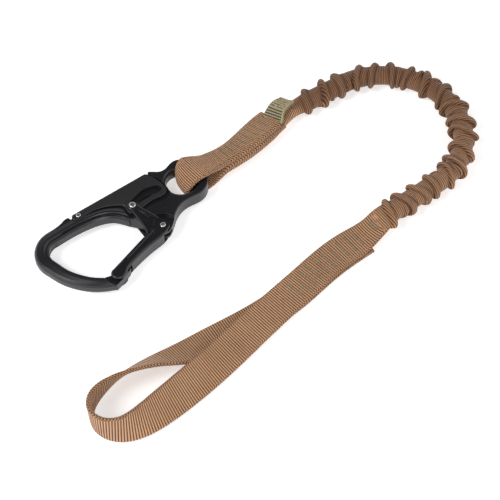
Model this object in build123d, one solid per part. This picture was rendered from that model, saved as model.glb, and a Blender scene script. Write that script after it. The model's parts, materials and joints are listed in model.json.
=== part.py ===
from build123d import *
import math
import os

# Personal retention lanyard: a forged palm-lever snap hook, a sewn webbing eye,
# an elastic section under a gathered webbing cover, and a webbing hand loop.
# Millimetres.  The origin is the centre of the hook's bow seat, +X runs from
# the bow to the webbing eye, +Z stands up from the hook's flat face.

# --- hook: body -----------------------------------------------------------
SEAT_R = 10.0              # radius of the bow where the load hangs
BODY_HALF = 6.0            # half thickness of the neck
SPINE_HALF = 5.2           # half thickness of the spine's side faces
THIN_HALF = 3.7            # half thickness between the lever cheeks
RECESS_HALF = 4.0          # half thickness at the gate pivot
LIP_HALF = 3.4             # half thickness of the nose lip
BOW_WIDE_NOSE = 7.4
BOW_WIDE_SEAT = 10.2
EYE = (104.6, -0.3)        # centre of the webbing eye
EYE_R = 11.6

# --- hook: mechanism ------------------------------------------------------
GATE_PIN = (70.3, -26.0)
LEVER_PIN = (26.0, 18.6)
LOCK_PIN = (62.0, 1.0)
GATE_SWING = 45.0          # degrees, clockwise seen from +Z
LEVER_SWING = 4.4          # degrees, clockwise seen from +Z
PIN_R = 2.0                # lock pin
GATE_PIN_R = 1.6
LEVER_PIN_R = 1.2
CHEEK_IN = 3.85            # lever cheek, inner and outer faces
CHEEK_OUT = 5.75
LOBE_IN = 6.15             # gate lobe, inner and outer faces
LOBE_OUT = 8.0
PAD_IN = 4.15              # gate pad round its pivot
PAD_OUT = 6.25
PAD_R = 8.6

# --- webbing --------------------------------------------------------------
WEB_WIDE = 25.4            # one inch tubular webbing
WEB_THICK = 2.4
SEWN_END = 203.0           # end of the two sewn plies at the hook
BAR_X = 120.4              # centre of the eye's bar
BEND_R = 8.4               # inside radius of the fold round the bar
PLY = 2.8

# --- elastic section ------------------------------------------------------
START = (205.0, 9.0)       # where the gathered cover starts
HEADING = -3.7             # degrees, the way the cover leaves the sewn eye
RUN = 57.5                 # straight run before the bend
TURN_R = 59.5              # radius of the turn back to the hand loop
COVER_R = 9.0
COVER_BORE = 6.2
CORE_R = 5.8
LINK_ENDS = (0.0, 48.0, 96.0, 146.0, 194.0, 244.0, 292.0)
HINGE_GAP = 3.4
SLIDE_GAP = 0.3


def both_ways(face, half):
    """A plate of the given half thickness about the hook's mid plane."""
    return extrude(face, half, both=True)


def upper_and_lower(face, low, high):
    """The same layer above and below the hook's mid plane."""
    top = extrude(Pos(0, 0, low) * face, high - low)
    return top + mirror(top, Plane.XY)


def polygon(*points):
    return make_face(Polyline(*points, close=True))


def closed(*curves):
    """A plan face bounded by curves that meet end to end."""
    edges = []
    for curve in curves:
        edges.extend(curve.edges())
    return make_face(edges)


# ---------------------------------------------------------------- hook body
def bow_section(wide):
    """Forged section: flat seat, shallow groove, ridge, long outer slope."""
    half = [(-0.25, 3.1), (1.0, 4.6), (2.3, 4.3), (3.7, 5.9), (4.6, 6.0),
            (wide - 1.9, 5.0), (wide - 0.6, 3.9), (wide, 2.2)]
    back = [(u, -z) for u, z in reversed(half)]
    return polygon(*half, *back)


def bow_path():
    seat = CenterArc((0, 0), SEAT_R, 198, -108)
    nose = Spline((18.3, -41.2), (10.4, -36.4), (4.5, -31.4), (-0.5, -25.2), (-6.0, -15.2), seat @ 0,
                  tangents=((-0.86, 0.5), seat % 0))
    spine = Spline((0, SEAT_R), (13, 10.2), (26, 9.4), (36, 7.6), (43, 4.9), (47.7, 1.5),
                   (51.3, -3.3), (53.8, -6.6), tangents=((1, 0), (0.6, -0.8)))
    return Wire([nose, seat, spine])


def bow():
    path = bow_path()
    sections = []
    for place, wide in ((0.0, BOW_WIDE_NOSE), (0.38, BOW_WIDE_SEAT), (1.0, BOW_WIDE_SEAT)):
        point = path.position_at(place)
        along = path.tangent_at(place)
        out = Vector(-along.Y, along.X, 0)
        sections.append(Plane(origin=point, x_dir=out, z_dir=along) * bow_section(wide))
    return sweep(sections, path=path, multisection=True)


def plate_outline():
    """Plan outline of the spine, neck, eye ring and gate tail."""
    shoulder = Polyline((6, 13), (6, 19.0), (12.0, 20.4), (15.5, 21.7), (18.4, 21.9),
                        (19.5, 20.8), (19.6, 16.4), (21.9, 16.4), (22.2, 21.0), (29.2, 21.0),
                        (30.2, 17.5), (88.4, 13.2), (88.9, 20.7), (89.8, 21.5))
    neck = Spline((89.8, 21.5), (93.2, 19.2), (97.0, 16.6), (101.0, 16.1), (106.0, 17.6),
                  (111.6, 18.4), (118.6, 14.6), (123.2, 7.8), (124.8, 0), (123.2, -8.6),
                  (118.7, -14.6), (111.4, -17.9), (101.0, -17.2), (92.0, -18.2), (84.3, -22.4),
                  (77.6, -28.2), (74.4, -30.4))
    tail = Spline((74.4, -30.4), (70.3, -31.6), (65.9, -29.4), (64.6, -26.0), (63.2, -20.0),
                  (61.2, -15.6), (58.6, -11.2), (54.6, -6.2))
    inner = Spline((54.6, -6.2), (51.6, -1.6), (48.6, 2.8), (43.8, 6.4), (36.4, 9.2), (26, 11), (6, 13))
    return closed(shoulder, neck, tail, inner)


def swung(points, shift=(0, 0)):
    """Where lever points stand with the palm lever fully squeezed."""
    lx, ly = LEVER_PIN
    swing = math.radians(LEVER_SWING)
    moved = []
    for x, y in points:
        dx = (x - lx) * math.cos(swing) + (y - ly) * math.sin(swing)
        dy = (y - ly) * math.cos(swing) - (x - lx) * math.sin(swing)
        moved.append((lx + dx + shift[0], ly + dy + shift[1]))
    return moved


def lever_pocket():
    """Plan area the lever's cheeks pass over, with running clearance."""
    under = Spline((23.0, 15.1), *swung(LEVER_LOW[1:], (-0.2, -0.6)))
    lobe = Spline(under @ 1, *swung(LEVER_LOBE, (-0.7, -0.3)), *swung(LEVER_BAND, (0.1, -0.7)),
                  (92.6, -1.2), (93.0, 2.6))
    end = Spline((93.0, 2.6), (92.6, 8.2), (91.0, 14.8), (88.7, 20.2))
    over = Polyline((88.7, 20.2), (88.5, 26), (20.2, 26), (20.2, 17.6), (21.4, 15.6), (23.0, 15.1))
    return closed(under, lobe, end, over)


def nose_lip():
    """Thin lip the gate's end closes over."""
    top = Spline((8.0, -37.4), (12.0, -37.4), (16.5, -38.6), (24.0, -39.4), (29.8, -39.2))
    end = Spline((29.8, -39.2), (31.8, -40.0), (31.0, -41.6), (27.9, -43.4), (22.0, -45.8), (15.1, -47.8))
    back = Polyline((15.1, -47.8), (12.6, -45.4), (8.0, -42.0), (8.0, -37.4))
    return both_ways(closed(top, end, back), LIP_HALF)


def pin_slot(wide):
    """Arc slot the lock pin follows as the gate opens."""
    gx, gy = GATE_PIN
    dx = LOCK_PIN[0] - gx
    dy = LOCK_PIN[1] - gy
    start = math.degrees(math.atan2(dy, dx))
    arc = CenterArc(GATE_PIN, math.hypot(dx, dy), start, -GATE_SWING)
    return SlotArc(arc, wide)


def hook_body():
    spine_side = both_ways(plate_outline() & polygon((0, -40), (0, 30), (58, 30), (58, -40)), SPINE_HALF)
    neck_side = both_ways(plate_outline() & polygon((57, -40), (57, 30), (130, 30), (130, -40)), BODY_HALF)
    neck_side = soften(neck_side, 1.0)
    # the bow's end face stands across the nose lip
    trim = both_ways(polygon((10.6, -34.0), (10.8, -40.1), (11.5, -43.6), (14.4, -47.4), (18, -52),
                             (60, -52), (60, -34)), 8)
    body = bow() + spine_side + neck_side - trim + nose_lip()
    body -= Cylinder(SEAT_R, 5.2) & Pos(-10, -10, 0) * Box(30, 45, 6)
    body -= Pos(*EYE, 0) * Cylinder(EYE_R, 20)
    body -= upper_and_lower(lever_pocket(), THIN_HALF, 7.5)
    # trough the lever's web sinks into
    body -= both_ways(polygon((29.4, 17.6), (88.4, 13.2), (88.9, 20.7), (88.9, 26), (29.4, 26)), 8)
    recess = Pos(*GATE_PIN) * Circle(10.6)
    body -= upper_and_lower(recess, RECESS_HALF, 7.5)
    body -= both_ways(pin_slot(2 * PIN_R + 0.8), 8)
    body -= Pos(*GATE_PIN, 0) * Cylinder(GATE_PIN_R + 0.02, 20)
    body -= Pos(*LEVER_PIN, 0) * Cylinder(LEVER_PIN_R + 0.02, 20)
    # slot for the gate's torsion spring and blind hole for the lever's spring
    body -= Pos(*GATE_PIN, 0) * Cylinder(6.4, 3.5)
    body -= Pos(73.6, -22.0, 0) * Box(2.4, 10, 3.5)
    body -= Pos(46, 14.5, 0) * Rot(90, 0, 0) * Cylinder(2.3, 10)
    return round_eye(body)


def soften(solid, radius):
    """Round the rim of the neck's two flat faces."""
    flat = solid.faces().filter_by(Axis.Z).group_by(SortBy.AREA)[-1]
    rims = []
    for face in flat:
        for edge in face.outer_wire().edges():
            if edge.center().X > 86 or edge.center().Y < -16:
                rims.append(edge)
    return fillet(rims, radius)


def round_eye(body):
    """Round both rims of the webbing eye so it can't cut the fold."""
    rims = []
    for edge in body.edges().filter_by(GeomType.CIRCLE):
        if abs(edge.radius - EYE_R) < 0.01:
            rims.append(edge)
    return fillet(rims, 3.0)


# -------------------------------------------------------------- palm lever
LEVER_LOW = ((28.8, 15.5), (35.0, 15.9), (41.2, 15.1), (46.7, 13.4), (51.8, 10.9), (56.0, 8.0))
LEVER_LOBE = ((57.2, 1.6), (58.2, -2.4))
LEVER_BAND = ((62.0, -4.1), (67.9, -3.4), (73.8, -2.4), (79.7, -2.3), (87.6, -2.9), (90.9, -1.4))


def lever_outline():
    top = Polyline((21.6, 21.0), (23.0, 21.8), (86.4, 21.3), (88.0, 20.0))
    end = Spline((88.0, 20.0), (90.3, 14.6), (91.9, 8.0), (92.3, 2.4), LEVER_BAND[-1])
    band = Spline(*reversed(LEVER_BAND), *reversed(LEVER_LOBE), (57.8, 5.0), LEVER_LOW[-1])
    low = Spline(*reversed(LEVER_LOW), (23.0, 15.8))
    left = Spline((23.0, 15.8), (21.0, 17.8), (21.6, 21.0))
    return closed(top, end, band, low, left)


def lever_slot():
    upper = Spline((59.3, 1.2), (60.6, 4.6), (66.8, 7.5), (71.9, 9.1), (76.7, 9.9), (82.3, 9.2),
                   (86.5, 7.8), (89.0, 5.9), (89.6, 3.6), (88.4, 1.6))
    lower = Spline((88.4, 1.6), (85.4, 0.8), (79.7, 1.5), (73.8, 1.4), (67.9, 0.3), (62.2, -1.6), (59.3, 1.2))
    return closed(upper, lower)


def palm_lever():
    cheek = extrude(Pos(0, 0, CHEEK_IN) * lever_outline(), CHEEK_OUT - CHEEK_IN)
    rim = cheek.faces().sort_by(Axis.Z)[-1].outer_wire().edges()
    cheek = fillet(rim, 0.7)
    cheek -= extrude(lever_slot(), 10)
    web = both_ways(polygon((31, 19.3), (31, 21.7), (86.4, 21.3), (87.4, 20.4), (87.4, 19.3)), CHEEK_IN + 0.1)
    lever = cheek + mirror(cheek, Plane.XY) + web
    return lever - Pos(*LEVER_PIN, 0) * Cylinder(LEVER_PIN_R + 0.06, 20)


# --------------------------------------------------------------------- gate
ARM_OUTER = ((72.0, -30.5), (66.3, -33.0), (56.4, -34.5), (48.6, -35.9), (38.1, -38.5),
             (32.2, -40.4), (28.0, -42.4))
ARM_ROD = ((31.6, -35.2), (61.4, -26.3))     # ends of the rod in the arm's pocket
RIM_R = 1.8


def gate_outline():
    bx, by = LOCK_PIN
    lobe = ThreePointArc((bx - 3.4, by - 2.2), (bx, by + 4.1), (bx + 3.8, by - 1.6))
    right = Polyline(lobe @ 1, (72.2, -18.6), (74.4, -25.4))
    pad = Spline((74.4, -25.4), (74.6, -28.2), (72.0, -30.5), tangents=((0.2, -1), (-1, -0.25)))
    outer = Spline(*ARM_OUTER)
    tip = Spline((28.0, -42.4), (24.0, -45.3), (18.6, -45.0), (15.6, -41.8), (16.6, -38.0), (20.0, -36.0))
    inner = Polyline((20.0, -36.0), (51.6, -26.5), (56.6, -24.8), (57.8, -20.0), lobe @ 0)
    return closed(lobe, right, pad, outer, tip, inner)


def gate_blank():
    """Solid gate: faces that fall away to the tip, rims rounded."""
    crown = Spline((9, 8.05), (-6, 7.9), (-16, 7.5), (-28, 6.8), (-38, 6.4), (-50, 6.2))
    under = Spline((-50, -6.2), (-38, -6.4), (-28, -6.8), (-16, -7.5), (-6, -7.9), (9, -8.05))
    profile = closed(crown, Line(crown @ 1, under @ 0), under, Line(under @ 1, crown @ 0))
    blank = both_ways(gate_outline(), 9) & extrude(Plane.YZ * profile, 120)
    rims = []
    for edge in blank.edges():
        if abs(edge.center().Z) > 5.9 and abs(edge.tangent_at(0.5).Z) < 0.5:
            rims.append(edge)
    return fillet(rims, RIM_R)


def gate_hollow():
    """Plan area inside the gate's channel: everything but the outer web."""
    web_inside = [(x, y + 1.9) for x, y in ARM_OUTER[2:5]]
    return polygon((50, 10), (82, 10), (82, -45), (66.4, -45), (66.4, -30.2), *web_inside,
                   (33.4, -37.2), (33.4, -52), (5, -52), (5, -30))


def along_arm(shape, high):
    """Lays a shape made about the origin along the middle of the arm's rod."""
    (ax, ay), (bx, by) = ARM_ROD
    turn = math.degrees(math.atan2(by - ay, bx - ax))
    return Pos((ax + bx) / 2, (ay + by) / 2, high) * Rot(0, 0, turn) * shape


def arm_rod(long):
    """Round rod that rises with the arm's face."""
    rod = Rot(0, 90, 0) * Cylinder(1.0, long - 3.5)
    rod = fillet(rod.edges().filter_by(GeomType.CIRCLE), 0.8)
    top = along_arm(Rot(0, -1.1, 0) * rod, 6.0)
    return [top, mirror(top, Plane.XY)]


def gate():
    part = gate_blank()
    hollow = gate_hollow()
    low = polygon((40, -26.8), (90, -26.8), (90, 20), (40, 20)) - Pos(*GATE_PIN) * Circle(PAD_R)
    part -= both_ways(hollow, PAD_IN)
    part -= both_ways(hollow & low, LOBE_IN)
    part -= upper_and_lower(Pos(*GATE_PIN) * Circle(6.9), PAD_OUT, 9.5)
    # pocket and rod on the arm, window and bar in the lobe
    long = math.dist(*ARM_ROD)
    part -= upper_and_lower(along_arm(SlotOverall(long + 3.2, 3.6), 0), 5.6, 9.5)
    part += arm_rod(long)
    window = polygon((62.9, -4.6), (60.6, -14.9), (63.8, -17.2), (67.4, -14.3))
    part -= upper_and_lower(window, 6.95, 9.5)
    part += upper_and_lower(Pos(65.3, -10.0) * Rot(0, 0, -74.5) * SlotOverall(9.2, 1.7), 6.9, 7.7)
    part -= Pos(*GATE_PIN, 0) * Cylinder(GATE_PIN_R + 0.06, 30)
    part -= Pos(*LOCK_PIN, 0) * Cylinder(PIN_R + 0.02, 30)
    return part


# ---------------------------------------------------------- pins and springs
def rivet(centre, radius, seat, head_r, head_h):
    """Shaft with a low domed head above and below."""
    head = Pos(0, 0, seat + head_h / 2) * Cylinder(head_r, head_h)
    head = fillet(head.edges().sort_by(Axis.Z)[-1:], head_h * 0.7)
    shaft = Cylinder(radius, 2 * seat + 0.02)
    return Pos(*centre, 0) * (shaft + head + mirror(head, Plane.XY))


def gate_spring():
    """Torsion spring: coils round the pivot and two straight legs."""
    coil_r = 3.4
    rise = 2.2
    points = [(coil_r, 7, 0), (coil_r, 4, 0), (coil_r, 2, 0)]
    for step in range(28):
        turn = math.radians(-30 * step)
        points.append((coil_r * math.cos(turn), coil_r * math.sin(turn), rise * step / 27))
    points += [(-2, -coil_r, rise), (-4, -coil_r, rise), (-8.8, -coil_r, rise)]
    path = Spline(*points)
    start = Plane(origin=path @ 0, z_dir=path % 0)
    return Pos(*GATE_PIN, -rise / 2) * sweep(start * Circle(0.35), path=path)


def lever_spring():
    """Compression spring between the spine and the lever's web."""
    high = 8.8
    coil = Helix(1.45, high, 1.6)
    start = Plane(origin=coil @ 0, z_dir=coil % 0)
    wire = sweep(start * Circle(0.3), path=coil)
    return Pos(46, 9.95, 0) * Rot(-90, 0, 0) * wire


# ------------------------------------------------------------- hook webbing
def eye_webbing():
    """Two plies folded round the eye's bar, narrowed where they pass through it."""
    outer = BEND_R + PLY
    bend_out = ThreePointArc((BAR_X, outer), (BAR_X - outer, 0), (BAR_X, -outer))
    bend_in = ThreePointArc((BAR_X, -BEND_R), (BAR_X - BEND_R, 0), (BAR_X, BEND_R))
    low_out = Spline((BAR_X, -outer), (138, -5.6), (153, -PLY), tangents=((1, 0), (1, 0)))
    high_out = Spline((153, PLY), (138, 5.6), (BAR_X, outer), tangents=((-1, 0), (-1, 0)))
    end = Polyline((153, -PLY), (SEWN_END, -PLY), (SEWN_END, PLY), (153, PLY))
    rim = closed(bend_out, low_out, end, high_out)
    low_in = Spline((BAR_X, -BEND_R), (136, -3.0), (148, 0), tangents=((1, 0), (1, 0.15)))
    high_in = Spline((148, 0), (136, 3.0), (BAR_X, BEND_R), tangents=((-1, 0.15), (-1, 0)))
    rim -= closed(bend_in, low_in, high_in)
    side = extrude(Plane.XZ * rim, 40, both=True)
    half = WEB_WIDE / 2
    far = Spline((118, 7.6), (124, 10.6), (130, 12.6), (150, 15.2), (178, 19.0), (SEWN_END, 21.7))
    near = Spline((SEWN_END, -3.5), (178, -6.4), (150, -10.2), (130, -12.4), (124, -10.6), (118, -7.6))
    cap = Polyline((SEWN_END, 21.7), (SEWN_END, -3.5))
    root = Polyline((118, -7.6), (100, -7.6), (100, 7.6), (118, 7.6))
    plan = closed(root, far, cap, near)
    return side & extrude(plan, 30, both=True)


def eye_stitching():
    """Bar stitches across both faces of the sewn plies."""
    rows = []
    for index in range(9):
        x = 138.0 + 6.5 * index
        rise = 0.19 * max(153 - x, 0) + PLY + 0.6
        for level in (rise, -rise):
            rows.append(Pos(x, 1.8 + 0.125 * (x - 138), level) * Box(1.5, 17, 0.5))
    return Compound(children=rows)


def label():
    """Woven flag tucked under the end of the top ply."""
    low = ThreePointArc((190, PLY + 0.9), (202, 7.4), (213, 13.0))
    high = ThreePointArc((212.6, 13.5), (201.7, 8.0), (190, PLY + 1.5))
    side = closed(low, Line(low @ 1, high @ 0), high, Line(high @ 1, low @ 0))
    flag = extrude(Plane.XZ * side, 8, both=True)
    return Pos(0, 9.5, 0) * flag


# ----------------------------------------------------------- elastic section
TURN_END = RUN + TURN_R * (math.pi + math.radians(HEADING))


def spot(s):
    """Plan point and heading in degrees at a length along the elastic."""
    first = math.radians(HEADING)
    before = min(s, RUN)
    x = START[0] + before * math.cos(first)
    y = START[1] + before * math.sin(first)
    turned_by = min(max(s - RUN, 0) / TURN_R, math.pi + first)
    heading = first - turned_by
    x += TURN_R * (math.sin(first) - math.sin(heading))
    y -= TURN_R * (math.cos(first) - math.cos(heading))
    after = max(s - TURN_END, 0)
    return (x - after, y, math.degrees(heading))


def station(s):
    x, y, heading = spot(s)
    turn = math.radians(heading)
    along = Vector(math.cos(turn), math.sin(turn), 0)
    return Plane(origin=(x, y, 0), x_dir=Vector(0, 0, 1), z_dir=along)


def stretch_path(low, high):
    """Centre line between two lengths: line, arc, or both."""
    edges = []
    cuts = [low] + [c for c in (RUN, TURN_END) if low < c < high] + [high]
    for a, b in zip(cuts, cuts[1:]):
        pa = spot(a)[:2]
        pb = spot(b)[:2]
        pm = spot((a + b) / 2)[:2]
        if a >= RUN and b <= TURN_END + 0.001:
            edges.append(ThreePointArc(pa, pm, pb))
        else:
            edges.append(Line(pa, pb))
    return Wire(edges)


def link_span(index):
    """Free ends of one link: wide gap at a hinge, thin gap at a slide."""
    low = LINK_ENDS[index]
    high = LINK_ENDS[index + 1]
    hinge_first = index % 2 == 0
    low += (HINGE_GAP if hinge_first else SLIDE_GAP) / 2
    high -= (SLIDE_GAP if hinge_first else HINGE_GAP) / 2
    return low, high


def link_rod(index, radius, bore=0.0):
    low, high = link_span(index)
    section = station(low) * Circle(radius)
    if bore:
        section -= station(low) * Circle(bore)
    return sweep(section, path=stretch_path(low, high))


# ------------------------------------------------------------- hand loop
LOOP_STEPS = 64
# centre x, y, z and lean of the strap in degrees, from the elastic round the loop
LOOP = (
    (205, -113.8, 0.0, 0), (196, -115.4, -2.6, 0), (184, -116.2, -4.6, 0), (154, -117.6, -4.7, 0),
    (114, -124.0, -4.6, 2), (80, -130.0, -3.9, 8), (50, -136.0, -3.2, 16), (15, -142.6, -1.0, 31),
    (-15, -147.0, 1.7, 47), (-36, -148.2, 3.8, 66), (-50, -144.6, 4.8, 82), (-58, -135.0, 5.0, 90),
    (-58, -124.0, 5.0, 92), (-50, -115.4, 4.8, 88), (-36, -111.6, 4.4, 76), (-18, -111.2, 3.0, 59),
    (0, -114.2, 1.4, 45), (18, -118.4, -2.0, 27), (45, -121.8, -6.4, 5), (75, -124.6, -7.55, 0),
    (112, -124.2, -7.6, 0), (150, -118.4, -7.6, 0), (184, -116.2, -7.6, 0),
)


def strap_section(centre, along, lean, wide):
    """Cross-section of the strap, leaning in towards the inside of the loop."""
    inward = Vector(along.Y, -along.X, 0).normalized()
    lean = math.radians(lean)
    across = inward * math.cos(lean) + Vector(0, 0, math.sin(lean))
    along = (along - across * along.dot(across)).normalized()
    return Plane(origin=centre, x_dir=across, z_dir=along) * Rectangle(wide, WEB_THICK)


def loop_lean(run, marks):
    """Lean of the strap at a run along the loop, between the tabled places."""
    for index in range(len(marks) - 1):
        if run <= marks[index + 1]:
            part = (run - marks[index]) / (marks[index + 1] - marks[index])
            return LOOP[index][3] + part * (LOOP[index + 1][3] - LOOP[index][3])
    return LOOP[-1][3]


def handle_webbing():
    places = [Vector(x, y, z) for x, y, z, lean in LOOP]
    path = Spline(*places)
    marks = [0.0]
    for a, b in zip(places, places[1:]):
        marks.append(marks[-1] + (b - a).length)
    marks = [mark / marks[-1] for mark in marks]
    sections = []
    for step in range(LOOP_STEPS + 1):
        run = step / LOOP_STEPS
        wide = 18.0 if step == 0 else WEB_WIDE
        along = path.tangent_at(run)
        sections.append(strap_section(path.position_at(run), along, loop_lean(run, marks), wide))
    return loft(sections, ruled=True)


def handle_stitching():
    rows = []
    for index in range(10):
        x = 114.5 + 7.2 * index
        y = -123.3 + (x - 114.5) * 0.11
        for level in (-4.6 + WEB_THICK / 2 + 0.8, -7.6 - WEB_THICK / 2 - 0.4):
            rows.append(Pos(x, y, level) * Rot(0, 0, 6) * Box(1.5, 18, 0.4))
    return Compound(children=rows)


def core_anchor():
    """Short zigzag tack that holds the elastic in the cover's end."""
    return Pos(197.5, -115.2, -0.4) * Rot(0, -15, 6) * Box(2.2, 15, 0.5)


# ---------------------------------------------------------------- write out
def save(node, shape):
    export_step(shape, "parts/" + node + ".step")


os.makedirs("parts", exist_ok=True)
save("hook_body", hook_body())
save("palm_lever", palm_lever())
save("gate", gate())
save("gate_rivet", rivet(GATE_PIN, GATE_PIN_R, 6.3, 2.1, 1.0))
save("lever_rivet", rivet(LEVER_PIN, LEVER_PIN_R, 5.8, 1.8, 0.9))
save("lock_pin", rivet(LOCK_PIN, PIN_R, 8.08, 2.5, 1.2))
save("gate_spring", gate_spring())
save("lever_spring", lever_spring())
save("eye_webbing", eye_webbing())
save("eye_stitching", eye_stitching())
save("label", label())
for link in range(6):
    save("cover_%d" % (link + 1), link_rod(link, COVER_R, COVER_BORE))
    save("elastic_core_%d" % (link + 1), link_rod(link, CORE_R))
save("handle_webbing", handle_webbing())
save("handle_stitching", handle_stitching())
save("core_anchor", core_anchor())
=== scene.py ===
import json
import math

import bpy
import numpy as np
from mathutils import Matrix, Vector


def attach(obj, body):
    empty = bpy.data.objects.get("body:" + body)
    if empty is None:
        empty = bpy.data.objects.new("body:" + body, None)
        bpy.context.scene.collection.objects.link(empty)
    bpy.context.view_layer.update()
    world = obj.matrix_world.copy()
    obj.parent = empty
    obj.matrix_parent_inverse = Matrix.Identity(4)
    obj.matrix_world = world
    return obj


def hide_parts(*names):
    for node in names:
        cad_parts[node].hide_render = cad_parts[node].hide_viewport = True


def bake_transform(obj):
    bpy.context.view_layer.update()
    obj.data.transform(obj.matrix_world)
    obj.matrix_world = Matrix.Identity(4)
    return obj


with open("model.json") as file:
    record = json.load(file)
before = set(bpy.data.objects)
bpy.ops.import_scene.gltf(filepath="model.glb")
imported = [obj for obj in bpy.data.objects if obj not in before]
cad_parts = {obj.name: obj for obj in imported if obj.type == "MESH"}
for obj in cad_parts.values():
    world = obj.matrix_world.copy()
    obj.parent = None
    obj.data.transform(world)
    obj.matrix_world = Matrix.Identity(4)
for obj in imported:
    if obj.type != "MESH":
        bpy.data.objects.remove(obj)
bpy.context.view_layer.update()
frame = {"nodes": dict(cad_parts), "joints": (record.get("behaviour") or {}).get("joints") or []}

# Looks of a retention lanyard: snap hook, sewn webbing eye, elastic under a gathered
# cover, hand loop.  Lengths in this script are millimetres; MM turns them to metres.

MM = 0.001
JOINTS = {joint["name"]: joint for joint in frame["joints"]}
UP = np.array((0.0, 0.0, 1.0))


def joint_place(name):
    """Place of a hinge in millimetres."""
    return np.array(JOINTS[name]["pos_m"]) / MM


# --- fold round the bar of the hook's eye ----------------------------------
BAR = joint_place("eye_swivel")
ARCH_X = BAR[0] - 4.0               # middle of the arch the strap makes over the bar
ARCH_IN = 10.6                      # its reach into the eye
ARCH_SKEW = 2.7                     # how much less it reaches in at its far edge
ARCH_BULGE = 1.4                    # and how much more at its middle
ARCH_HIGH = 9.5                     # its height over the bar's middle
ARCH_LOW = 7.9                      # and its depth under it
ARCH_HALF = 9.25                    # half width of the strap in the eye
ARCH_SPREAD = 1.6                   # and how much more over the bar
ARCH_SIDE = 0.05                    # sideways place of its middle in the eye
ARCH_SHIFT = 1.9                    # and how much further over the bar
ARCH_TWIST = 1.3                    # how far its far edge lies towards the hook
ARCH_STEP = 0.25                    # spacing of the strap's rows
ARCH_BEND = 30.0                    # length of strap that turns round the bar

# --- webbing --------------------------------------------------------------
WEB_WIDE = 25.4
TUBE_THICK = 3.0                    # tubular webbing pressed flat round the bar
TOP_PLY = 5.2                       # thickness of the sewn eye's upper ply
LOW_PLY = 6.4                       # and of the ply with the elastic's end in it
SEWN_SINK = 0.5                     # how far the stitches pull each ply into the other
STRAP_THICK = 2.4
EYE_RIB = 1.5                       # rib pitch of the sewn eye
STRAP_RIB = 1.85                    # rib pitch of the hand loop
COVER_RIB = 1.6                     # and of the gathered cover
EDGE_BRAID = 2.2                    # pitch of the chevrons on a strap's edges
RIB_HIGH = 0.26
RIB_ROUND = 0.6                     # power that widens a rib's back and narrows its groove
EDGE_ROUND = 0.7                    # power that squares a strap's rounded edge
EDGE_ARC = 9                        # points round a strap's edge
ACROSS = 15                         # points across a strap's face
LAST_SIDE = 0.4                     # length given to the side that closes a ring

# --- stitches ---------------------------------------------------------------
STITCH_POINTS = 8                   # points for each stitch
THREAD_OVER = 0.16                  # height of a thread's middle over the webbing
THREAD_DIVE = 0.22                  # how far it dives at the ends of a stitch
ASIDE = (0.31, 0.2, 0.93)           # a direction that no thread runs along

# --- elastic section ------------------------------------------------------
START = joint_place("bend_1")
HEADING = math.atan2(JOINTS["stretch_1"]["axis"][1], JOINTS["stretch_1"]["axis"][0])
RUN = 57.5                          # straight length before the half turn
TURN_R = 59.5                       # radius of the half turn
TURN_END = RUN + TURN_R * (math.pi + HEADING)
LINKS = 6
LINK_ENDS = (0.0, 48.0, 96.0, 146.0, 194.0, 244.0, 292.0)
SLEEVE_START = -9.0                 # where the cover leaves the sewn eye
SLEEVE_END = 299.5                  # and where it ends in the hand strap
SLEEVE_R = 7.4                      # cover's radius between folds
BORE_R = 6.3                        # radius inside the cover
CORE_R = 5.7                        # radius of the elastic
CORE_START = 8.0
CORE_END = 282.0
COVER_STEP = 0.4                    # spacing of the cover's rings
COVER_AROUND = 88                   # points round each of them
FLOOR = -9.4                        # height of the floor the part lies on

# --- return spring under the palm lever --------------------------------------
COIL_FOOT = (46.0, 9.95, 0.0)
COIL_HIGH = 8.8
COIL_RADIUS = 1.6
COIL_PITCH = 1.45
COIL_WIRE = 0.3
COIL_POINTS = 160

# --- colours, sRGB 0 to 255 ---------------------------------------------------
RIB_TAN = (202, 155, 117)
# dark brown painted as shade in the rib grooves, also used for the random dark flecks and the darker strap
# edges
GROOVE_SHADE_AND_FLECK_BROWN = (52, 31, 20)
BLOTCH_BROWN = (120, 83, 58)
COVER_SHADE = (150, 132, 118)
THREAD_DARK = (96, 88, 64)
THREAD_LIGHT = (160, 148, 116)
THREAD_WORN = (126, 112, 82)
ELASTIC_DARK = (88, 76, 60)
ELASTIC_LIGHT = (150, 134, 108)
TAB_DARK = (128, 116, 84)
TAB_LIGHT = (190, 178, 138)
TAB_INK = (34, 34, 36)
ANODISED = (14, 14, 18)
ANODISED_WORN = (38, 38, 47)
LEVER_COAT = (15, 15, 17)
LEVER_WORN = (36, 36, 40)


# ------------------------------------------------------------------ curves
def spline(knots, values, at):
    """Natural cubic spline through rows of values at the knots."""
    count = len(knots)
    gap = np.diff(knots)
    slope = np.diff(values, axis=0) / gap[:, None]
    system = np.eye(count)
    right = np.zeros_like(values)
    for i in range(1, count - 1):
        system[i, i - 1:i + 2] = gap[i - 1], 2 * (gap[i - 1] + gap[i]), gap[i]
        right[i] = 6 * (slope[i] - slope[i - 1])
    second = np.linalg.solve(system, right)
    i = np.clip(np.searchsorted(knots, at, side="right") - 1, 0, count - 2)
    d = (at - knots[i])[:, None]
    h = gap[i][:, None]
    first = slope[i] - h * (2 * second[i] + second[i + 1]) / 6
    return values[i] + d * (first + d * (second[i] / 2 + d * (second[i + 1] - second[i]) / (6 * h)))


def run_length(points):
    """Length along a path up to each of its points."""
    steps = np.linalg.norm(np.diff(points, axis=0), axis=1)
    return np.concatenate(([0.0], np.cumsum(steps)))


def follow(table, step):
    """Rows at even spacing along a smooth line through a table of x, y, z and more."""
    table = np.array(table, float)
    chord = run_length(table[:, :3])
    rows = spline(chord, table, np.linspace(0, chord[-1], 4000))
    run = run_length(rows[:, :3])
    even = np.linspace(0, run[-1], int(run[-1] / step) + 1)
    columns = [np.interp(even, run, rows[:, i]) for i in range(table.shape[1])]
    return even, np.column_stack(columns)


def unit(vectors):
    return vectors / np.linalg.norm(vectors, axis=-1, keepdims=True)


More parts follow.
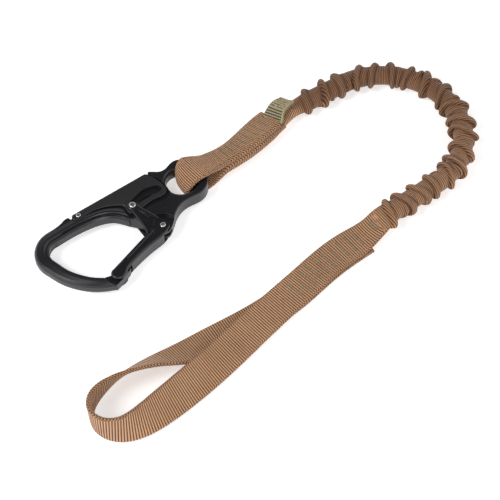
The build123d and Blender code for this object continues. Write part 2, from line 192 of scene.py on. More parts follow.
def smooth(x):
    """Smooth step from 0 to 1."""
    x = np.clip(x, 0, 1)
    return x * x * (3 - 2 * x)


def ease(at, start, length):
    """0 before start, 1 from a length after it, smooth in between."""
    return smooth((at - start) / length)


# ------------------------------------------------------------------ meshes
def mesh_object(name, points, faces, uvs):
    """A mesh piece from points in millimetres, with one UV pair for each face corner."""
    mesh = bpy.data.meshes.new(name)
    mesh.from_pydata((np.asarray(points) * MM).tolist(), [], faces)
    layer = mesh.uv_layers.new(name="UVMap")
    layer.data.foreach_set("uv", np.asarray(uvs, np.float32).ravel())
    mesh.polygons.foreach_set("use_smooth", [True] * len(mesh.polygons))
    mesh.set_sharp_from_angle(angle=math.radians(62))
    piece = bpy.data.objects.new(name, mesh)
    bpy.context.scene.collection.objects.link(piece)
    return piece


def ring_faces(first, count, around):
    """Quads and their corner grid places between rings of points."""
    faces = []
    corners = []
    for i in range(count - 1):
        base = first + i * around
        for j in range(around):
            k = (j + 1) % around
            faces.append((base + j, base + k, base + around + k, base + around + j))
            corners.append(((i, j), (i, j + 1), (i + 1, j + 1), (i + 1, j)))
    return faces, corners


def solid_tube(name, rings, along, girth):
    """Closed tube through rings of points; UV is millimetres along and round."""
    count, around = rings.shape[:2]
    faces, corners = ring_faces(0, count, around)
    uvs = [(along[i] * MM, girth[j] * MM) for face in corners for i, j in face]
    faces.append(tuple(range(around - 1, -1, -1)))
    faces.append(tuple((count - 1) * around + j for j in range(around)))
    uvs += [(along[0] * MM, girth[j] * MM) for j in range(around - 1, -1, -1)]
    uvs += [(along[-1] * MM, girth[j] * MM) for j in range(around)]
    return mesh_object(name, rings.reshape(-1, 3), faces, uvs)


def sleeve_tube(name, outer, inner, along, girth):
    """Tube with a bore: outer and inner rings joined at both ends."""
    count, around = outer.shape[:2]
    inner_count = inner.shape[0]
    faces, corners = ring_faces(0, count, around)
    uvs = [(along[i] * MM, girth[j] * MM) for face in corners for i, j in face]
    base = count * around
    back, back_corners = ring_faces(base, inner_count, around)
    spread = np.linspace(along[0], along[-1], inner_count)
    faces += [face[::-1] for face in back]
    uvs += [(spread[i] * MM, girth[j] * MM) for face in back_corners for i, j in face[::-1]]
    last = (count - 1) * around
    inner_last = base + (inner_count - 1) * around
    for j in range(around):
        k = (j + 1) % around
        faces.append((j, base + j, base + k, k))
        faces.append((last + j, last + k, inner_last + k, inner_last + j))
        uvs += [(along[0] * MM, girth[j] * MM)] * 4 + [(along[-1] * MM, girth[j] * MM)] * 4
    points = np.concatenate((outer.reshape(-1, 3), inner.reshape(-1, 3)))
    return mesh_object(name, points, faces, uvs)


def thread(path, radius, around=6):
    """Rings of a round thread along a path of points."""
    along = unit(np.gradient(path, axis=0))
    side = unit(np.cross(along, np.array(ASIDE)))
    top = np.cross(side, along)
    turn = np.linspace(0, 2 * math.pi, around, endpoint=False)
    cos = np.cos(turn)[None, :, None]
    sin = np.sin(turn)[None, :, None]
    ring = side[:, None] * cos + top[:, None] * sin
    return path[:, None] + ring * radius


def thread_object(name, paths, radius):
    """One piece of many closed threads."""
    points, faces, uvs = [], [], []
    base = 0
    for path in paths:
        rings = thread(path, radius)
        count, around = rings.shape[:2]
        run = run_length(path)
        quads, corners = ring_faces(base, count, around)
        faces += quads
        uvs += [(run[i] * MM, j / around) for face in corners for i, j in face]
        faces.append(tuple(base + j for j in range(around - 1, -1, -1)))
        faces.append(tuple(base + (count - 1) * around + j for j in range(around)))
        uvs += [(0, 0)] * (2 * around)
        points.append(rings.reshape(-1, 3))
        base += count * around
    return mesh_object(name, np.concatenate(points), faces, uvs)


def store(mesh, name, values):
    """Keeps one number for each of a mesh's first points for its material."""
    row = np.zeros(len(mesh.vertices), np.float32)
    row[:values.size] = np.asarray(values).ravel()
    mesh.attributes.new(name, "FLOAT", "POINT").data.foreach_set("value", row)


# ------------------------------------------------------------------ straps
def chevron(turn, pitch):
    """Shift of the ribs along a rounded edge that makes two rows of chevrons."""
    row = np.abs(np.sin(2 * turn))[None, :]
    return row * pitch * 0.55


class Strap:
    """A strap given by its middle surface: rows along it, columns across it."""

    def __init__(self, middle, thick, pitch):
        self.middle = middle
        self.along = unit(np.gradient(middle, axis=0))
        self.across = unit(np.gradient(middle, axis=1))
        self.up = unit(np.cross(self.across, self.along))
        self.run = run_length(middle[:, middle.shape[1] // 2])
        self.half = np.broadcast_to(np.asarray(thick, float) / 2, (len(middle),))
        self.pitch = pitch

    def rib(self, run):
        """Height of the cross ribs: round backs with narrow grooves."""
        wave = np.abs(np.cos(math.pi * run / self.pitch)) ** RIB_ROUND
        return RIB_HIGH * (2 * wave - 1)

    def rings(self, arc=EDGE_ARC):
        """Closed rings round the strap: top, far edge, underside, near edge."""
        half = (self.half + self.rib(self.run))[:, None, None]
        top = self.middle + self.up * half
        low = self.middle - self.up * half
        turn = np.radians(np.linspace(90, -90, arc + 2)[1:-1])
        ribs = self.rib(self.run[:, None] + chevron(turn, self.pitch))
        half = (self.half[:, None] + ribs)[:, :, None]
        far = self.edge(-1, turn, half)
        near = self.edge(0, turn[::-1], half, -1)
        return np.concatenate((top, far, low[:, ::-1], near), axis=1)

    def edge(self, column, turn, half, side=1):
        """Rounded edge of the strap at its first or last column."""
        middle = self.middle[:, column][:, None]
        out = side * self.across[:, column][:, None]
        up = self.up[:, column][:, None]
        full = (np.abs(np.cos(turn)) ** EDGE_ROUND)[None, :, None]
        return middle + (out * full + up * np.sin(turn)[None, :, None]) * half

    def edge_share(self, rings):
        """1 on the strap's rounded edges, 0 on its faces."""
        columns = self.middle.shape[1]
        row = np.zeros(rings.shape[1])
        row[columns:columns + EDGE_ARC] = 1
        row[2 * columns + EDGE_ARC:] = 1
        return np.broadcast_to(row, rings.shape[:2])

    def girth(self, rings):
        """Lengths round the middle ring, back to its start."""
        run = run_length(rings[len(rings) // 2])
        return run.tolist() + [run[-1] + LAST_SIDE]

    def piece(self, name, slot):
        """The strap as a closed mesh piece."""
        rings = self.rings()
        made = solid_tube(name, rings, self.run, self.girth(rings))
        store(made.data, "edge", self.edge_share(rings))
        return made

    def surface(self, run, place, lift):
        """Points over the strap at lengths along it and places -1 to 1 across it."""
        row = np.interp(run, self.run, np.arange(len(self.run)))
        column = (np.asarray(place) + 1) / 2 * (self.middle.shape[1] - 1)
        i = np.clip(row.astype(int), 0, len(self.run) - 2)
        j = np.clip(column.astype(int), 0, self.middle.shape[1] - 2)
        a = (row - i)[:, None]
        b = (column - j)[:, None]
        near = self.middle[i, j] * (1 - a) + self.middle[i + 1, j] * a
        far = self.middle[i, j + 1] * (1 - a) + self.middle[i + 1, j + 1] * a
        reach = np.interp(run, self.run, self.half)[:, None] + np.abs(lift)[:, None]
        return near * (1 - b) + far * b + self.up[i, j] * reach * np.sign(lift)[:, None]


def zigzag_row(strap, run, low, high, side, pitch=2.3, swing=1.0):
    """Thread of one bar of zigzag stitches across a strap."""
    width = WEB_WIDE / 2
    length = (high - low) * width
    count = int(round(length / pitch)) * STITCH_POINTS + 1
    step = np.linspace(0, length / pitch, count)
    saw = 2 * np.abs(2 * (step - np.floor(step + 0.5))) - 1
    place = low + (high - low) * np.linspace(0, 1, count)
    lift = side * (THREAD_OVER - THREAD_DIVE * np.abs(saw) ** 6)
    lift = np.where(np.abs(lift) < 0.01, side * 0.01, lift)
    return strap.surface(run + swing * saw, place, lift)


# --------------------------------------------------------------- sewn eye
# Middle of the two sewn plies, x, y, z, and the strap's width there
EYE_LINE = (
    (113, 3.9, 0.4, 25.4), (124, 2.8, 0.0, 24.0), (134, 1.8, -0.4, 21.4), (146, 1.1, -0.7, 19.6),
    (164, 2.6, -0.9, 21.4), (184, 6.7, -1.1, 23.2), (194, 8.4, -1.1, 23.2), (207, 9.8, -0.6, 21.0),
)
EYE_ROLL = 14.0                     # degrees the sewn plies lie rolled, near edge up
TOP_END = 80.0                      # from the arch to the upper ply's cut end
LOW_END = 85.0                      # and to the lower ply's end, inside the cover
LOW_THIN = 1.2                      # how much thinner the lower ply gets by its end
LOW_SPARE = 1.2                     # how far its near edge shows past the upper ply
EYE_STITCH_START = 22.5             # first bar of stitches from the arch
EYE_STITCH_STEP = 6.1
EYE_STITCH_ROWS = 9
EYE_THREAD_R = 0.27


def eye_straight(reach, place, offset, thick):
    """Points on the straight sewn plies at distances from the bar."""
    line = np.array(EYE_LINE, float)
    x = ARCH_X + reach
    row = spline(line[:, 0], line, x)
    centre = row[:, :3]
    heading = unit(spline(line[:, 0], line, x + 0.5)[:, :3] - centre)
    roll = math.radians(EYE_ROLL)
    level = np.stack((-heading[:, 1], heading[:, 0], 0 * x), axis=1)
    across = level * math.cos(roll) - UP * math.sin(roll)
    up = np.cross(heading, across)
    reach_out = (row[:, 3] - thick)[:, None] / 2 * place[None, :]
    spare = np.where(offset < 0, LOW_SPARE * (1 - ease(reach, 66, 14)), 0.0)
    wider = spare[:, None] * np.clip(-place, 0, 1)
    side = across[:, None] * (reach_out - wider)[:, :, None]
    return centre[:, None] + side + (up * offset[:, None])[:, None]


def eye_arch(turn, reach, place):
    """Points on the strap where it arches over the bar, through the eye and back."""
    turn = turn[:, None]
    place = place[None, :]
    over = np.sin(turn) ** 2
    inside = (ARCH_IN - ARCH_SKEW * place) + ARCH_BULGE * (1 - place ** 2)
    x = ARCH_X - ARCH_TWIST * place - inside * np.cos(turn) + reach[:, None]
    y = ARCH_SIDE + ARCH_SHIFT * over + (ARCH_HALF + ARCH_SPREAD * over) * place
    z = np.where(turn > 0, ARCH_HIGH + 0.3 * place, ARCH_LOW) * np.sin(turn)
    return np.stack((x, y, z), axis=-1)


def eye_strap():
    """The strap from its upper cut end, round the bar, to the start of the cover."""
    top = np.arange(TOP_END, 0, -ARCH_STEP)
    fold = np.radians(np.linspace(90, -90, int(ARCH_BEND / ARCH_STEP)))
    low = np.arange(ARCH_STEP, LOW_END, ARCH_STEP)
    reach = np.concatenate((top, 0 * fold, low))
    turn = np.concatenate((math.pi / 2 + 0 * top, fold, -math.pi / 2 + 0 * low))
    offset = np.sin(turn) * (np.where(turn > 0, LOW_PLY, TOP_PLY) / 2 - SEWN_SINK)
    sewn = np.where(turn > 0, TOP_PLY, LOW_PLY - LOW_THIN * ease(reach, 74, 10))
    thick = TUBE_THICK + (sewn - TUBE_THICK) * ease(reach, 4, 24)
    place = np.linspace(-1, 1, ACROSS)
    share = smooth((reach[:, None] + 3.5 * place) / (22 - 3 * place))[:, :, None]
    arch = eye_arch(turn, reach, place)
    straight = eye_straight(reach, place, offset, thick)
    return Strap(arch * (1 - share) + straight * share, thick, EYE_RIB)


def build_eye():
    """The sewn eye and its bars of stitches on both faces."""
    strap = eye_strap()
    webbing = strap.piece("eye_webbing_cloth", "eye_webbing")
    webbing.data.materials.append(webbing_material("eye_cloth", EYE_RIB))
    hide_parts("eye_webbing")
    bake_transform(webbing)
    rows = []
    total = strap.run[-1]
    for index in range(EYE_STITCH_ROWS):
        reach = EYE_STITCH_START + EYE_STITCH_STEP * index
        rows.append(zigzag_row(strap, TOP_END - reach, -0.86, 0.9, 1))
        rows.append(zigzag_row(strap, total - LOW_END + reach, -0.72, 0.9, 1))
    stitches = thread_object("eye_stitch_rows", rows, EYE_THREAD_R)
    stitches.data.materials.append(thread_material())
    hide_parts("eye_stitching")
    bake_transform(stitches)


# ------------------------------------------------------------------ label
# Far and near edges of the tab, from between the plies to its fold
LABEL_FAR = (
    (190.5, 13.6, 0.4), (194.9, 14.8, 3.0), (198.5, 15.8, 6.0), (204.7, 16.6, 9.0),
    (209.9, 15.2, 11.0),
)
LABEL_NEAR = (
    (196.5, -0.6, 3.0), (200.2, -0.3, 5.0), (203.5, 2.6, 8.0), (208.4, 4.5, 10.5),
    (214.6, 5.2, 12.0),
)
LABEL_THICK = 0.45
LABEL_BOW = 0.8                     # how far its face bows out
LABEL_FOLD = 0.75                   # radius of the fold at its end
LABEL_RIB = 0.9


def evenly(points, count):
    """Count points at even shares along a row of points."""
    share = np.linspace(0, 1, count)
    had = np.linspace(0, 1, len(points))
    return np.column_stack([np.interp(share, had, points[:, i]) for i in range(3)])


def build_label():
    """Woven tab, folded back on itself, that stands up from between the plies."""
    far = evenly(follow(LABEL_FAR, 0.3)[1], 60)
    near = evenly(follow(LABEL_NEAR, 0.3)[1], 60)
    place = np.linspace(0, 1, 13)[None, :, None]
    front = near[:, None] * (1 - place) + far[:, None] * place
    up = unit(np.cross(np.gradient(front, axis=1), np.gradient(front, axis=0)))
    front = front + up * LABEL_BOW * np.sin(math.pi * place)
    back = front[::-1] - up[::-1] * 2 * LABEL_FOLD
    turn = np.radians(np.linspace(90, -90, 9)[1:-1])[:, None, None]
    ahead = unit(np.gradient(front, axis=0)[-1])
    hinge = front[-1] - up[-1] * LABEL_FOLD
    bend = hinge[None] + ahead[None] * LABEL_FOLD * np.cos(turn) + up[-1][None] * LABEL_FOLD * np.sin(turn)
    strap = Strap(np.concatenate((front, bend, back)), LABEL_THICK, LABEL_RIB)
    rings = strap.rings(3)
    piece = solid_tube("label_tab", rings, strap.run, strap.girth(rings))
    piece.data.materials.append(label_material(strap.run[-1]))
    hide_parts("label")
    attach(piece, "eye_strap")


# ---------------------------------------------------------- gathered cover
def elastic_line(s):
    """Centre and heading of the elastic at lengths along it."""
    before = np.minimum(s, RUN)
    turned = np.clip((s - RUN) / TURN_R, 0, math.pi + HEADING)
    heading = HEADING - turned
    x = START[0] + before * math.cos(HEADING) + TURN_R * (math.sin(HEADING) - np.sin(heading))
    y = START[1] + before * math.sin(HEADING) - TURN_R * (math.cos(HEADING) - np.cos(heading))
    x = x - np.maximum(s - TURN_END, 0)
    return x, y, heading


FOLDS = 19                          # full folds round the cover
FOLD_SEED = 11
BACK_ROUND = 1.15                   # power that narrows a fold's round back
CREASE_WIDE = 1.1                   # width of the painted crease shade at a fold's foot
CREASE_HIGH = 3.5                   # height of the fold that has the full painted crease shade
FIRST_FOLD = 27
LAST_FOLD = 289
FOLD_DRIFT = 2.2                    # how far a fold strays from even spacing
PART_FOLDS = 0.75                   # share of the gaps with a short fold in them
ALL_ROUND = 9.0                     # reach, in radians, of a fold that goes all round


def fold_table():
    """Places and shapes of the cover's folds: irregular, from a fixed seed."""
    rng = np.random.RandomState(FOLD_SEED)
    places = np.linspace(FIRST_FOLD, LAST_FOLD, FOLDS) + rng.uniform(-FOLD_DRIFT, FOLD_DRIFT, FOLDS)
    folds = []
    for place in places:
        folds.append({
            "place": place,
            "high": rng.uniform(3.1, 4.4),
            "wide": rng.uniform(2.4, 3.4),
            "tilt": rng.uniform(1.5, 4.8) * rng.choice((-1, 1)),
            "tilt_at": rng.uniform(-0.6, 0.6),
            "wave": rng.uniform(-1.6, 1.6),
            "wave_at": rng.uniform(0, 6.3),
            "lean": rng.uniform(-0.45, 0.45),
            "full": rng.uniform(0.78, 0.95),
            "full_at": rng.uniform(-0.5, 0.5),
            "start": 0.0,
            "reach": ALL_ROUND,
        })
    for place in places[:-1]:
        if rng.uniform() < PART_FOLDS:
            folds.append({
                "place": place + rng.uniform(4.5, 8.5),
                "high": rng.uniform(1.4, 2.8),
                "wide": rng.uniform(1.5, 2.3),
                "tilt": rng.uniform(-6, 6),
                "tilt_at": rng.uniform(-0.8, 0.8),
                "wave": rng.uniform(-1, 1),
                "wave_at": rng.uniform(0, 6.3),
                "lean": rng.uniform(-0.4, 0.4),
                "full": 0.7,
                "full_at": rng.uniform(-1, 1),
                "start": rng.uniform(0, 6.3),
                "reach": rng.uniform(1.0, 1.8),
            })
    return folds


def gathers(s, turn):
    """Outward swell, shift along and strength of the painted crease shade of the cover at each place."""
    swell = np.zeros((len(s), len(turn)))
    shift = np.zeros_like(swell)
    crease = np.zeros_like(swell)
    for fold in fold_table():
        middle = fold["place"] + fold["tilt"] * np.cos(turn - fold["tilt_at"])
        middle = middle + fold["wave"] * np.sin(2 * turn + fold["wave_at"])
        oval = np.cos(2 * (turn - fold["full_at"]))
        high = fold["high"] * (fold["full"] + (1 - fold["full"]) * oval)
        if fold["reach"] < ALL_ROUND:
            away = np.angle(np.exp(1j * (turn - fold["start"])))
            high = high * np.exp(-(away / fold["reach"]) ** 2)
        x = (s[:, None] - middle[None]) / fold["wide"]
        back = np.sqrt(np.clip(1 - x * x, 0, None)) ** BACK_ROUND * high[None]
        shift = np.where(back > swell, fold["lean"] * back, shift)
        from_foot = (np.abs(x) - 1) * fold["wide"]
        foot = np.exp(-(from_foot / CREASE_WIDE) ** 2) * high[None] / CREASE_HIGH
        crease = np.maximum(crease * (back < 0.5 * fold["high"]), foot)
        swell = np.maximum(swell, back)
    return swell, shift, np.clip(crease, 0, 1)


EYE_HALF = (11.3, 3.3)              # cover's half width and half height at the sewn eye
HAND_HALF = (10.1, 1.55)            # and in the hand strap
OVAL = (0.3, -0.4)                  # what they are beyond SLEEVE_R in between
NECK = 1.1                          # how much thinner the cover starts
FLAT_SQUARE = 0.35                  # how square its flattened ends are


def sleeve_shape(s):
    """Half width, half height, squareness and roll of the cover between folds."""
    hook = ease(s, -8, 20)
    neck = NECK * (1 - ease(s, 14, 14))
    hand = ease(s, 280, 18)
    halves = []
    for eye, oval, flat in zip(EYE_HALF, OVAL, HAND_HALF):
        half = eye + (SLEEVE_R + oval - neck - eye) * hook
        halves.append(half * (1 - hand) + flat * hand)
    wide, high = halves
    square = 1 - FLAT_SQUARE * np.maximum(1 - hook, hand)
    roll = math.radians(EYE_ROLL) * (1 - ease(s, -4, 30))
    return wide, high, square, roll


UNDER_FLAT = 0.62                   # how much flatter the folds are underneath
PANEL_SHADE_START = 0.66                  # painted shade of the cover between folds near the hook
PANEL_SHADE_DROP = 0.34                   # and how much of it goes by the hand loop
END_SINK = 2.1                      # how far the cover's end sinks into the hand strap
END_SHIFT = 1.4                     # and how far it shifts sideways there
START_DIP = 2.6                     # how far its start lies under the eye's middle


def sleeve_rings(s, around, grow):
    """Rings of the gathered cloth (grow true) or of the smooth bore inside it."""
    turn = np.linspace(0, 2 * math.pi, around, endpoint=False)
    wide, high, square, roll = sleeve_shape(s)
    cos = np.sign(np.cos(turn)) * np.abs(np.cos(turn)) ** square[:, None]
    sin = np.sign(np.sin(turn)) * np.abs(np.sin(turn)) ** square[:, None]
    calm = ease(s, 8, 14) * (1 - ease(s, 289, 9))
    swell, shift, crease = gathers(s, turn)
    swell = swell * calm[:, None]
    shift = shift * calm[:, None]
    down = np.clip(-np.sin(turn), 0, 1)
    swell = swell * (1 - UNDER_FLAT * down ** 2)
    if grow:
        radial = 1 + swell / SLEEVE_R
    else:
        radial = np.full_like(swell, BORE_R / (SLEEVE_R + OVAL[0]))
        shift = shift * 0
    side = wide[:, None] * cos * radial
    rise = high[:, None] * sin * radial
    x, y, heading = elastic_line(s[:, None] + shift)
    roll = roll[:, None]
    level = side * np.cos(roll) + rise * np.sin(roll)
    lift = rise * np.cos(roll) - side * np.sin(roll)
    sink = ease(s, 287, 17)[:, None]
    dip = START_DIP * (1 - ease(s, -6, 22))[:, None]
    rings = np.stack((x - level * np.sin(heading),
                      y + level * np.cos(heading) - END_SHIFT * sink,
                      lift - END_SINK * sink - dip), axis=-1)
    # painted shade: darker between folds, more so near the hook, darkest in the creases at the folds' feet
    panel_shade = PANEL_SHADE_START - PANEL_SHADE_DROP * ease(s, 130, 100)[:, None]
    shade = calm[:, None] * (panel_shade + (1 - panel_shade) * crease)
    return rings, turn, shade


def sleeve_marks():
    """Places along the elastic where its pieces meet: the middle of each link."""
    middles = [(a + b) / 2 for a, b in zip(LINK_ENDS, LINK_ENDS[1:])]
    return [SLEEVE_START] + middles + [SLEEVE_END]


def stands_for(prefix, index):
    """CAD nodes that a piece across joint number index takes the place of."""
    return [prefix + str(i) for i in (index, index + 1) if 1 <= i <= LINKS]


def build_cover():
    """The gathered cover in seven lengths, each across one joint, and its elastic."""
    marks = sleeve_marks()
    cloth = webbing_material("cover_cloth", COVER_RIB)
    rope = core_material()
    for index in range(LINKS + 1):
        low, high = marks[index], marks[index + 1]
        s = np.linspace(low, high, int((high - low) / COVER_STEP) + 1)
        outer, turn, shade = sleeve_rings(s, COVER_AROUND, True)
        coarse = np.linspace(low, high, int((high - low) / 3) + 1)
        inner = sleeve_rings(coarse, COVER_AROUND, False)[0]
        fine = np.arange(SLEEVE_START, low, COVER_STEP)
        before = fabric_run(fine)[-1] if len(fine) > 1 else 0.0
        along = before + fabric_run(s)
        girth = np.append(turn, 2 * math.pi) * SLEEVE_R
        piece = sleeve_tube("cover_sleeve_%d" % (index + 1), outer, inner, along, girth)
        store(piece.data, "shade", shade)
        piece.data.materials.append(cloth)
        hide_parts(*stands_for("cover_", index))
        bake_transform(piece)
        build_core(index, max(low, CORE_START), min(high, CORE_END), rope)


def fabric_run(s):
    """Length of cloth gathered along the cover, averaged round it."""
    rings = sleeve_rings(s, 24, True)[0]
    steps = np.linalg.norm(np.diff(rings, axis=0), axis=2).mean(axis=1)
    return np.concatenate(([0.0], np.cumsum(steps)))


def build_core(index, low, high, material):
    """A length of the rubber elastic inside the cover."""
    s = np.linspace(low, high, int((high - low) / 1.5) + 2)
    turn = np.linspace(0, 2 * math.pi, 32, endpoint=False)
    x, y, heading = elastic_line(s[:, None] + 0 * turn)
    radius = CORE_R * (1 + 0.012 * np.cos(8 * turn[None] + s[:, None] * 1.4))
    side = radius * np.cos(turn)
    rise = radius * np.sin(turn)
    rings = np.stack((x - side * np.sin(heading), y + side * np.cos(heading), rise), axis=-1)
    girth = np.append(turn, 2 * math.pi) * CORE_R
    piece = solid_tube("elastic_rope_%d" % (index + 1), rings, s, girth)
    piece.data.materials.append(material)
    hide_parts(*stands_for("elastic_core_", index))
    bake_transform(piece)


# -------------------------------------------------------------- hand loop
# Middle of the strap, x, y, z, its lean in degrees and its width
LOOP = (
    (208, -113.6, -0.2, 0, 14.0), (204, -114.3, -0.9, 0, 17.4), (200, -114.9, -1.7, 0, 19.3),
    (192, -115.8, -3.4, 0, 20.6),
    (184, -116.3, -4.4, 0, 23.0), (172, -116.6, -4.6, 0, 25.2), (154, -117.6, -4.6, 0, 25.4),
    (134, -120.6, -4.6, 0, 25.4), (114, -124.0, -4.6, 2, 25.4),
    (80, -130.0, -3.9, 8, 25.4), (50, -136.0, -3.2, 16, 25.4), (15, -142.6, -1.0, 31, 25.4),
    (-15, -147.0, 1.7, 47, 25.4), (-36, -148.2, 3.8, 66, 25.4), (-50, -144.6, 4.8, 82, 25.4),
    (-58, -135.0, 5.0, 90, 25.4), (-58, -124.0, 5.0, 92, 25.4), (-50, -115.4, 4.8, 88, 25.4),
    (-36, -111.6, 4.4, 76, 25.4), (-18, -111.2, 3.0, 59, 25.4), (0, -114.2, 1.4, 45, 25.4),
    (18, -118.4, -2.0, 27, 25.4), (45, -121.8, -6.4, 5, 25.4), (75, -124.6, -7.4, 0, 25.4),
    (112, -124.2, -7.4, 0, 25.4), (150, -118.6, -7.4, 0, 25.4), (185, -117.2, -7.4, 0, 25.4),
)


LOOP_STEP = 0.31                    # spacing of the strap's rows
LOOP_BOW = 1.6                      # how far the middle of its sewn end runs ahead
LOOP_STITCH_START = 28.5            # first bar of stitches from the sewn end
LOOP_STITCH_STEP = 7.2
LOOP_STITCH_ROWS = 10
LOOP_THREAD_R = 0.29
TACK_THREAD_R = 0.3
PLY_SHIFT = 23.0                    # how much further the sewn end reaches than the cut end


def hand_strap():
    """The strap from inside the cover, round the hand, to its cut end under itself."""
    _, rows = follow(LOOP, LOOP_STEP)
    centre = rows[:, :3]
    along = unit(np.gradient(centre, axis=0))
    inward = unit(np.stack((along[:, 1], -along[:, 0], 0 * along[:, 0]), axis=1))
    lean = np.radians(rows[:, 3])[:, None]
    across = inward * np.cos(lean) + UP * np.sin(lean)
    across = unit(across - along * (across * along).sum(axis=1)[:, None])
    place = np.linspace(-1, 1, ACROSS)[None, :, None]
    half = (rows[:, 4] - STRAP_THICK)[:, None, None] / 2
    bow = LOOP_BOW * (1 - smooth(np.arange(len(rows)) * LOOP_STEP / 40))[:, None, None]
    middle = centre[:, None] + across[:, None] * place * half - along[:, None] * bow * place ** 2
    return Strap(middle, STRAP_THICK, STRAP_RIB)


def build_handle():
    """The hand loop, its bars of stitches on both faces and the elastic's tack."""
    strap = hand_strap()
    webbing = strap.piece("handle_strap", "handle_webbing")
    webbing.data.materials.append(webbing_material("handle_cloth", STRAP_RIB))
    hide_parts("handle_webbing")
    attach(webbing, "handle")
    rows = []
    total = strap.run[-1]
    for index in range(LOOP_STITCH_ROWS):
        reach = LOOP_STITCH_START + LOOP_STITCH_STEP * index
        rows.append(zigzag_row(strap, reach, -0.74, 0.78, 1, 2.5, 1.2))
        rows.append(zigzag_row(strap, total - reach + PLY_SHIFT, -0.74, 0.78, -1, 2.5, 1.2))
    stitches = thread_object("handle_stitch_rows", rows, LOOP_THREAD_R)
    stitches.data.materials.append(thread_material())
    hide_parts("handle_stitching")
    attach(stitches, "handle")
    tack = zigzag_row(strap, 12.4, -0.5, 0.6, 1, 2.6, 1.6)
    anchor = thread_object("anchor_tack", [tack], TACK_THREAD_R)
    anchor.data.materials.append(thread_material())
    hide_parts("core_anchor")
    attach(anchor, "handle")


# -------------------------------------------------------------- materials
class Shader:
    """Short way to lay out a procedural material."""

    def __init__(self, name):
        self.material = bpy.data.materials.new(name)
        self.material.use_nodes = True
        self.tree = self.material.node_tree
        self.surface = self.tree.nodes["Principled BSDF"]

    def node(self, kind, **inputs):
        made = self.tree.nodes.new(kind)
        for key, value in inputs.items():
            self.feed(made.inputs[key.replace("_", " ")], value)
        return made

    def feed(self, socket, value):
        """Links a socket to another, or sets its value."""
        if isinstance(value, bpy.types.NodeSocket):
            self.tree.links.new(value, socket)
        else:
            socket.default_value = value

    def math(self, operation, a, b=0.0, c=None):
        made = self.tree.nodes.new("ShaderNodeMath")
        made.operation = operation
        values = (a, b) if c is None else (a, b, c)
        for socket, value in zip(made.inputs, values):
            self.feed(socket, value)
        return made.outputs[0]

    def mix(self, factor, a, b, blend="MIX"):
        made = self.tree.nodes.new("ShaderNodeMix")
        made.data_type = "RGBA"
        made.blend_type = blend
        self.feed(made.inputs[0], factor)
        self.feed(made.inputs[6], a)
        self.feed(made.inputs[7], b)
        return made.outputs[2]

    def noise(self, scale, detail=2.0):
        """Noise over the piece's own metres."""
        place = self.node("ShaderNodeTexCoord").outputs["Object"]
        made = self.node("ShaderNodeTexNoise", Scale=scale, Detail=detail, Vector=place)
        return made.outputs["Fac"]

    def wave(self, length, pitch):
        """Sine along a length in millimetres."""
        return self.math("SINE", self.math("MULTIPLY", length, 2 * math.pi / pitch))

    def backs(self, angle, low, high):
        """1 on round backs and 0 in the grooves between them, twice a turn."""
        return self.ramp(self.math("ABSOLUTE", self.math("COSINE", angle)), low, high)

    def ramp(self, factor, low, high):
        """0 at low to 1 at high."""
        made = self.node("ShaderNodeMapRange", Value=factor)
        made.inputs["From Min"].default_value = low
        made.inputs["From Max"].default_value = high
        return made.outputs[0]

    def stored(self, name):
        """A number kept on the mesh's points."""
        made = self.tree.nodes.new("ShaderNodeAttribute")
        made.attribute_name = name
        return made.outputs["Fac"]

    def uv(self):
        """UV in millimetres: along and across."""
        made = self.node("ShaderNodeSeparateXYZ")
        self.feed(made.inputs[0], self.node("ShaderNodeUVMap").outputs[0])
        return [self.math("MULTIPLY", made.outputs[i], 1 / MM) for i in range(2)]

    def finish(self, **inputs):
        """Sets the surface's inputs and gives the material."""
        for key, value in inputs.items():
            self.feed(self.surface.inputs[key.replace("_", " ")], value)
        return self.material

    def bump(self, height, strength, distance):
        made = self.node("ShaderNodeBump", Strength=strength, Distance=distance * MM, Height=height)
        return made.outputs[0]


def linear(colour):
    """An sRGB colour given 0 to 255 as linear RGBA."""
    values = []
    for channel in colour:
        c = channel / 255
        values.append(c / 12.92 if c <= 0.04045 else ((c + 0.055) / 1.055) ** 2.4)
    return (*values, 1.0)


CHEVRON_WIDE = 3.4                  # width of one row of an edge's chevrons
YARN_PITCH = 0.62                   # width of one yarn of the webbing


